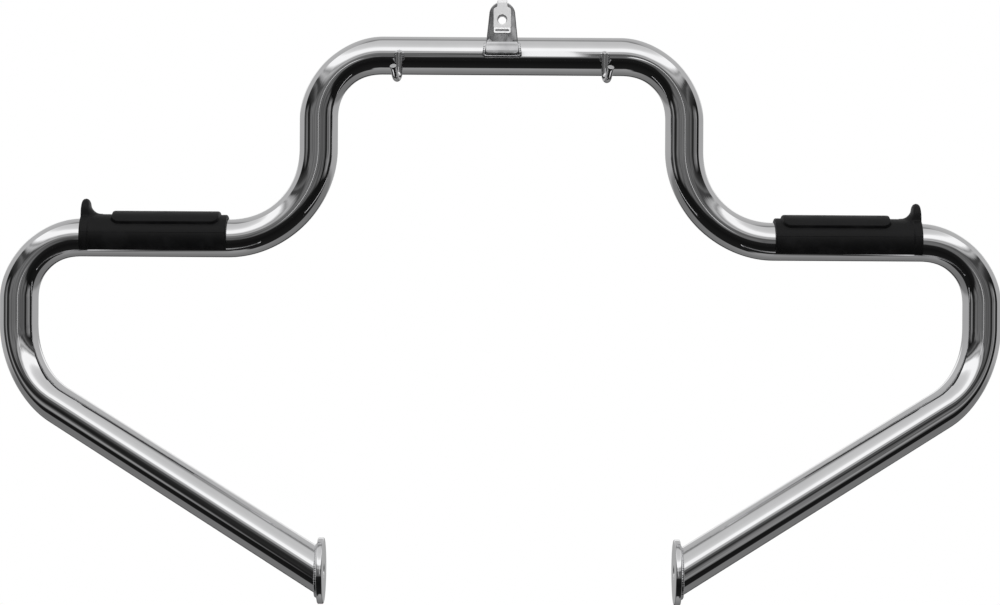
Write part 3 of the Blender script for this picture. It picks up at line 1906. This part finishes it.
@dataclass
class FootPads:
    """The two moulded rubber pads on the foot shelves. Their sizes are in millimetres."""

    finishes: Finishes
    length: float = 121.6
    middle_x: float = 288.45
    in_r: float = 15.975
    out_r: float = 19.475
    front_edge: float = -34.0
    rear_edge: float = 192.0
    end_round: float = 1.3
    heel_round: float = 0.9
    lip_round: float = 1.0

    # The raised tread, with a groove round it and a soft shoulder.
    tread_inset: float = 6.0
    tread_len: float = 90.0
    tread_rise: float = 3.0
    tread_low: float = 35.0
    tread_corner: float = 7.0
    tread_wall: Pair = (-0.5, 0.9)
    shoulder: Pair = (0.5, 2.4)
    shoulder_drop: float = 0.14
    groove_out: float = 0.9
    groove_w: float = 0.6
    groove_depth: float = 0.18

    # The heel stop, with the hollow before it and the collar round the pad's end.
    spur_rise: float = 32.4
    spur_tip_r: float = 3.3
    spur_hollow_r: float = 10.5
    spur_half: float = 9.5
    spur_blend: float = 1.2
    spur_least_lift: float = 0.3
    collar: float = 0.8
    collar_past: float = 1.4
    collar_run: float = 1.6
    collar_blend: float = 0.4

    # The moulding's seam.
    seam_angle: float = 13.0
    seam_w: float = 0.55
    seam_rise: float = 0.16

    # How fine the mesh is: loops along the pad, and directions round it.
    coarse_step: float = 0.55
    heel_zone: float = 7.6
    heel_places: tuple[float, ...] = (
        *(0.03, 0.12, 0.3, 0.55, 0.85, 1.25, 1.75, 2.3, 2.9, 3.6),
        *(4.2, 4.8, 5.3, 5.8, 6.2, 6.45, 6.6, 6.75, 7.0, 7.4),
    )
    around: int = 190
    inner_around: int = 72
    round_steps: int = 5
    least_turn: float = 0.35
    seam_turns: tuple[float, ...] = (-2.2, -1.2, -0.7, -0.3, 0, 0.3, 0.7, 1.2, 2.2)
    flank_turns: tuple[float, ...] = (
        *(60.5, 61.2, 61.8, 62.4, 63, 63.6),
        *(64.2, 64.9, 65.6, 66.3, 67, 67.8),
    )

    def stations(self) -> np.ndarray:
        """Places along the pad, from its inner end, closer together at the heel stop.

        Returns:
            The places.
        """
        coarse = np.arange(0, self.length - self.heel_zone, self.coarse_step)
        return np.unique(np.r_[coarse, self.length - np.array(self.heel_places), self.length])

    def angles(self) -> np.ndarray:
        """Directions round the pad, from its front lower edge over the top to its rear one.

        Returns:
            The directions in degrees, closer together at the seam and at the heel stop's flanks.
        """
        coarse = np.linspace(self.front_edge, self.rear_edge, self.around)
        flank = np.array(self.flank_turns)
        fine = np.r_[self.seam_angle + np.array(self.seam_turns), flank, 180 - flank]
        apart = np.min(np.abs(coarse[:, None] - fine[None]), axis=1)
        return np.unique(np.r_[coarse[apart > self.least_turn], fine])

    def spur_top(self, from_end: np.ndarray) -> np.ndarray:
        """Height of the heel stop over the tube's centre, seen from the front.

        Args:
            from_end: Distances from the pad's outer end.

        Returns:
            The heights, which are 0 past the hollow.
        """
        tip, hollow_r = self.spur_tip_r, self.spur_hollow_r
        crown = self.spur_rise - tip + np.sqrt(np.maximum(tip**2 - (from_end - tip) ** 2, 0))
        centre_u = 2 * tip + hollow_r
        drop = np.sqrt(np.maximum(hollow_r**2 - (centre_u - from_end) ** 2, 0))
        made = np.where(from_end <= 2 * tip, crown, self.out_r + hollow_r - drop)
        return np.where(from_end >= centre_u, 0.0, made)

    def tread(self, along: np.ndarray, angle: np.ndarray) -> np.ndarray:
        """Outer radius of the pad with its tread, without the heel stop.

        Args:
            along: Places from the inner end.
            angle: Directions in degrees, 0 to the front and 90 upward.

        Returns:
            The radius at each place.
        """
        skin_r, corner = self.out_r + 1, self.tread_corner
        across = np.abs(angle - 90) * math.pi / 180 * skin_r
        half_w = (90 - self.tread_low) * math.pi / 180 * skin_r
        middle = self.tread_inset + self.tread_len / 2
        past_x = np.abs(along - middle) - (self.tread_len / 2 - corner)
        past_a = across - (half_w - corner)
        beyond = np.hypot(np.maximum(past_x, 0), np.maximum(past_a, 0))
        inside = corner - beyond - np.minimum(np.maximum(past_x, past_a), 0)
        crest = 1 - self.shoulder_drop * (1 - eased(inside, *self.shoulder))
        rise = self.tread_rise * eased(inside, *self.tread_wall) * crest
        groove = np.exp(-((inside + self.groove_out) / self.groove_w) ** 2)
        return self.out_r + rise - self.groove_depth * groove

    def heel(self, from_end: np.ndarray, angle: np.ndarray) -> np.ndarray:
        """Outer radius of the heel stop, which is a fin with a domed top.

        Args:
            from_end: Distances from the pad's outer end.
            angle: Directions in degrees, 0 to the front and 90 upward.

        Returns:
            The radius at each place, or 0 where there is no heel stop.
        """
        lift, spread = np.sin(np.radians(angle)), np.abs(np.cos(np.radians(angle)))
        centre = self.spur_top(from_end) - self.spur_half
        root = np.sqrt(np.maximum(self.spur_half**2 - (centre * spread) ** 2, 0))
        dome = np.where(self.spur_half >= centre * spread, centre * lift + root, 0)
        flank = self.spur_half / np.maximum(spread, 1e-3)
        body = np.where(dome * lift > centre, dome, flank)
        return np.where((lift > self.spur_least_lift) & (centre > 0), body, 0)

    def radius(self, along: np.ndarray, angle: np.ndarray) -> np.ndarray:
        """The whole pad's outer radius.

        Args:
            along: Places from the inner end.
            angle: Directions in degrees, 0 to the front and 90 upward.

        Returns:
            The radius at each place.
        """
        from_end = self.length - along
        past = 2 * self.spur_tip_r + self.collar_past - from_end
        collar = self.out_r + self.collar * eased(past, 0, self.collar_run)
        made = soft_max(self.tread(along, angle), collar, self.collar_blend)
        made = soft_max(made, self.heel(from_end, angle), self.spur_blend)
        return made + self.seam_rise * np.exp(-((angle - self.seam_angle) / self.seam_w) ** 2)

    def pad(self, side: Side) -> Object:
        """Moulds one pad, as loops round its wall that are stacked along the tube.

        Args:
            side: The side that it is on.

        Returns:
            The pad.
        """
        rounds = [(1 - math.cos(a), 1 - math.sin(a)) for a in arc(0, 90, self.round_steps)]
        first = [(self.end_round * ahead, self.end_round * down) for ahead, down in rounds]
        last = [
            (self.length - self.heel_round * ahead, self.heel_round * down)
            for ahead, down in reversed(rounds)
        ]
        between = [p for p in self.stations() if self.end_round < p < last[0][0]]
        angles = self.angles()
        places = first + [(place, 0.0) for place in between] + last
        loops = np.array([self._loop(place, inset, angles, rounds) for place, inset in places])
        count, size, _ = loops.shape
        faces = wrap_faces(count, size, False)
        faces.append(tuple(range(size))[::-1])
        faces.append(tuple(range((count - 1) * size, count * size)))
        along, forward, up = (loops.reshape(-1, 3) * MM).T
        x = side.value * ((self.middle_x - self.length / 2) * MM + along)
        verts = np.column_stack([x, BARS.bar_y - forward, BARS.bar_z - BARS.shelf_drop + up])
        return outward(surface(f"{side.label}_foot_pad", verts, faces, self.finishes.rubber))

    def _loop(
        self, place: float, inset: float, angles: np.ndarray, rounds: Sequence[Pair]
    ) -> np.ndarray:
        """One closed loop round the pad's wall.

        Args:
            place: Distance from the inner end.
            inset: How far the outer skin is drawn in there.
            angles: Directions that the outer skin is drawn at.
            rounds: Shares of the rounding of the lower edges.

        Returns:
            Rows of along, forward and up.
        """
        inner_share = 0.3
        lip = math.degrees(self.lip_round / self.out_r)
        low, high = angles[0], angles[-1]
        middle = angles[(angles > low + lip) & (angles < high - lip)]
        outer = self.radius(np.full_like(middle, place), middle) - inset
        front = [(low + lip * ahead, outer[0] - self.lip_round * down) for ahead, down in rounds]
        rear = [(high - lip * ahead, outer[-1] - self.lip_round * down) for ahead, down in rounds]
        bore = self.in_r + inner_share * inset
        inner = [(angle, bore) for angle in np.linspace(high, low, self.inner_around)]
        ring = np.array(front + list(zip(middle, outer)) + rear[::-1] + inner)
        turned, reach = np.radians(ring[:, 0]), ring[:, 1]
        return np.column_stack(
            [np.full(len(ring), place), reach * np.cos(turned), reach * np.sin(turned)]
        )

    def dress(self) -> None:
        """Builds the pads, each with the strip inside it, and paints their screws."""
        for side in Side:
            nodes = (f"{side.label}_foot_pad", f"{side.label}_pad_strip")
            settle(self.pad(side), "rubber", *nodes)
            paint(f"{side.label}_pad_screws", self.finishes.steel)


@dataclass(frozen=True)
class Lamp:
    """A soft rectangular lamp that points at the bars."""

    name: str
    at: Point
    size: Pair
    power: float
    aim: Point = (0, 0, -0.2)

    def hang(self) -> None:
        """Adds the lamp, which shows in no reflection."""
        light = bpy.data.lights.new(self.name, "AREA")
        light.shape = "RECTANGLE"
        light.size, light.size_y = self.size
        light.energy = self.power
        made = link(bpy.data.objects.new(self.name, light))
        made.location = self.at
        toward = Vector(self.aim) - Vector(self.at)
        made.rotation_euler = toward.to_track_quat("-Z", "Y").to_euler()
        made.visible_glossy = False
        made.visible_camera = False


@dataclass
class Studio:
    """The plain floor, soft lamps, surroundings and camera. Its angles are in degrees."""

    camera_at: Point = (-0.0004, -1.98655, -0.2340)
    lens: float = 86.3
    sensor: float = 36.0
    roll: float = -0.36

    floor_z: float = -0.9
    floor_half: float = 1.6
    floor_fade: Pair = (1.5, 0.75)
    floor_grey: float = 0.86
    floor_rough: float = 0.9

    lamps: tuple[Lamp, ...] = (
        Lamp("key", (-0.9, -1.6, 1.5), (1.6, 1.2), 26),
        Lamp("fill", (1.3, -1.3, 0.7), (1.4, 1.4), 12),
        Lamp("rear", (0.2, 1.6, 1.2), (2.0, 1.2), 14),
    )
    ambient: float = 0.5

    # Greys that polished metal shows in front of it, as pairs of elevation and grey.
    ahead: tuple[Pair, ...] = (
        *((-90, 0.3), (-85, 0.3), (-81, 0.012), (-40, 0.006), (-16, 0.012), (-5, 0.04)),
        *((2, 0.12), (5, 0.05), (8, 0.06), (11, 0.3), (15, 0.48), (19, 0.3), (23, 0.62)),
        *((27, 1.0), (42, 1.0), (49, 0.74), (56, 0.64), (75, 0.57), (90, 0.56)),
    )
    # The bands bend down towards the sides by this much, and waver a little.
    side_rise: float = 39.0
    ahead_waver: float = 7.0
    waver_size: float = 9.0
    waver_layers: Pair = (3.0, 0.6)
    # Greys behind it, and straight behind it. The depths are where each of them takes over.
    behind: tuple[Pair, ...] = (
        *((-90, 0.3), (-60, 0.2), (-30, 0.17), (-14, 0.2), (-8, 0.38), (2, 0.4)),
        *((40, 0.48), (66, 0.42), (73, 0.22), (77, 0.24), (80, 0.5), (90, 0.56)),
    )
    rear: tuple[Pair, ...] = (
        *((-90, 0.3), (-60, 0.2), (-34, 0.17), (-30, 0.03), (-15, 0.03), (-8, 0.38)),
        *((6, 0.4), (11, 0.9), (21, 0.95), (28, 0.45), (90, 0.5)),
    )
    behind_depth: Pair = (0.05, 0.09)
    rear_depth: Pair = (0.78, 0.86)
    # Greys of the room's walls at eye level, as pairs of azimuth and grey.
    beside: tuple[Pair, ...] = (
        *((-100, 0.05), (-80, 0.05), (-76, 0.24), (-69, 0.26), (-65, 0.02), (-54, 0.02)),
        *((-49, 0.18), (-20, 0.17), (0, 0.15), (24, 0.12), (42, 0.14), (46, 0.015)),
        *((53, 0.02), (57, 0.24), (75, 0.3), (79, 0.01), (100, 0.01)),
    )
    beside_reach: float = 100.0
    beside_waver: float = 10.0
    wall_waver_size: float = 5.0
    wall_height: Pair = (16.0, 10.0)
    post_size: Pair = (0.16, 0.05)
    post_layers: Pair = (3.0, 0.65)
    post_noise: Pair = (0.36, 0.6)
    post_shade: Pair = (0.35, 1.1)
    # A narrow white panel beside the camera, with soft edges.
    panel_turn: float = 1.15
    panel_half: Pair = (0.95, 0.6)
    panel_foot: Pair = (-9.0, -3.0)
    panel_top: Pair = (34.0, 27.0)
    panel_grey: float = 0.95

    def floor(self) -> None:
        """Lays a pale floor far below the bars, open from below, that fades into the room."""
        half, z, grey = self.floor_half, self.floor_z, self.floor_grey
        corners = [(-half, -half, z), (half, -half, z), (half, half, z), (-half, half, z)]
        mesh = bpy.data.meshes.new("floor")
        mesh.from_pydata(corners, [], [(0, 1, 2, 3)])
        made, tree, shader = Finish("pale_floor", (grey, grey, grey)).start()
        shader.inputs["Base Color"].default_value = (grey, grey, grey, 1)
        shader.inputs["Roughness"].default_value = self.floor_rough
        where = tree.node("ShaderNodeTexCoord").outputs["Object"]
        flat = tree.vector("MULTIPLY", where, (1, 1, 0)).outputs[0]
        away = tree.vector("LENGTH", flat).outputs["Value"]
        below = tree.node("ShaderNodeNewGeometry").outputs["Backfacing"]
        above = tree.math("SUBTRACT", 1.0, below)
        seen = tree.math("MULTIPLY", tree.remap(away, *self.floor_fade), above)
        tree.join(seen, shader.inputs["Alpha"])
        mesh.materials.append(made)
        plane = link(bpy.data.objects.new("floor", mesh))
        plane.visible_glossy = False

    def surroundings(self) -> None:
        """Paints the white room, and the bright and dark bands that polished metal shows."""
        world = bpy.data.worlds.new("studio")
        bpy.context.scene.world = world
        world.use_nodes = True
        world.node_tree.nodes.clear()
        tree = Tree(world.node_tree)
        direction = tree.node("ShaderNodeTexCoord").outputs["Generated"]
        across, depth, up = tree.chain("ShaderNodeSeparateXYZ", direction).outputs
        degrees = 180 / math.pi
        height = tree.math("MULTIPLY", tree.math("ARCSINE", up), degrees)
        away = tree.math("MULTIPLY", depth, -1.0)
        turn = tree.math("MULTIPLY", tree.math("ARCTAN2", across, away), degrees)
        sideways = tree.math("MULTIPLY", across, across)
        lower = tree.math("MULTIPLY_ADD", sideways, -self.side_rise, height)
        noise = tree.noise(direction, self.waver_size, *self.waver_layers)
        waver = tree.math("SUBTRACT", noise, 0.5)
        wavy = tree.math("MULTIPLY_ADD", waver, self.ahead_waver, lower)
        walls = self._walls(tree, direction, turn, height)
        room = tree.math("MAXIMUM", self._bands(tree, wavy, self.ahead), walls)
        room = tree.math("MAXIMUM", room, self._panel(tree, turn, height))
        back = tree.blend(
            tree.remap(depth, *self.rear_depth),
            self._bands(tree, height, self.behind),
            self._bands(tree, height, self.rear),
        )
        bands = tree.blend(tree.remap(depth, *self.behind_depth), room, back)
        path = tree.node("ShaderNodeLightPath").outputs
        seen = tree.math("MAXIMUM", path["Is Camera Ray"], path["Is Transmission Ray"])
        ambient = (self.ambient, self.ambient, self.ambient, 1)
        colour = tree.blend(path["Is Glossy Ray"], ambient, bands)
        shader = tree.node("ShaderNodeBackground")
        tree.join(tree.blend(seen, colour, (1, 1, 1, 1)), shader.inputs["Color"])
        tree.join(shader.outputs[0], tree.node("ShaderNodeOutputWorld").inputs["Surface"])

    @staticmethod
    def _bands(
        tree: Tree, angle: NodeSocket, bands: Sequence[Pair], reach: float = 90.0
    ) -> NodeSocket:
        """Reads a grey from bands.

        Args:
            tree: The world's tree.
            angle: The angle in degrees.
            bands: Pairs of angle and grey.
            reach: The angle that the bands reach to on both sides of 0.

        Returns:
            The grey at that angle.
        """
        place = tree.math("MULTIPLY_ADD", angle, 1 / (2 * reach), 0.5)
        return tree.ramp(place, [((stop + reach) / (2 * reach), grey) for stop, grey in bands])

    def _walls(
        self, tree: Tree, direction: NodeSocket, turn: NodeSocket, height: NodeSocket
    ) -> NodeSocket:
        """The room's dim walls at eye level, with dark uprights in front of them.

        Args:
            tree: The world's tree.
            direction: Where the ray goes.
            turn: Its azimuth from straight ahead.
            height: Its elevation.

        Returns:
            The walls' grey, or 0 above and below them.
        """
        low = tree.remap(tree.math("ABSOLUTE", height), *self.wall_height)
        across = tree.math("MULTIPLY", turn, self.post_size[0])
        up = tree.math("MULTIPLY", height, self.post_size[1])
        posts = tree.noise(tree.combined(across, up), 1.0, *self.post_layers)
        waver = tree.math("SUBTRACT", tree.noise(direction, self.wall_waver_size), 0.5)
        wavy = tree.math("MULTIPLY_ADD", waver, self.beside_waver, turn)
        walls = self._bands(tree, wavy, self.beside, self.beside_reach)
        shade = tree.remap(posts, *self.post_noise, *self.post_shade)
        return tree.math("MULTIPLY", walls, tree.math("MULTIPLY", shade, low))

    def _panel(self, tree: Tree, turn: NodeSocket, height: NodeSocket) -> NodeSocket:
        """A narrow white panel that stands beside the camera.

        Args:
            tree: The world's tree.
            turn: The ray's azimuth from straight ahead.
            height: Its elevation.

        Returns:
            The panel's grey, or 0 beside it.
        """
        off = tree.math("ABSOLUTE", tree.math("SUBTRACT", turn, self.panel_turn))
        wide = tree.remap(off, *self.panel_half)
        foot, top = tree.remap(height, *self.panel_foot), tree.remap(height, *self.panel_top)
        tall = tree.math("MULTIPLY", foot, top)
        return tree.math("MULTIPLY", wide, tree.math("MULTIPLY", tall, self.panel_grey))

    def camera(self) -> None:
        """Sets the camera at the photograph's place."""
        data = bpy.data.cameras.new("camera")
        data.sensor_width = self.sensor
        data.lens = self.lens
        made = link(bpy.data.objects.new("camera", data))
        made.location = self.camera_at
        made.rotation_euler = (math.radians(90), math.radians(self.roll), 0)
        bpy.context.scene.camera = made

    def build(self) -> None:
        """Sets up everything around the bars."""
        self.floor()
        for lamp in self.lamps:
            lamp.hang()
        self.surroundings()
        self.camera()
        bpy.context.scene.view_settings.view_transform = "Standard"


def main() -> None:
    """Builds every sub-assembly in order, then the studio."""
    logging.basicConfig(level=logging.INFO, format="%(message)s")
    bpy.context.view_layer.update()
    finishes = Finishes()
    sweep, bead = Sweep(), Bead()
    BentTube(finishes, sweep).dress()
    CentreTab(finishes, bead).dress()
    ClipNut(finishes).dress()
    EndPlates(finishes, bead).dress()
    Hooks(finishes, sweep, bead).dress()
    FootPads(finishes).dress()
    Studio().build()
    bpy.context.view_layer.update()


if __name__ == "__main__":
    main()
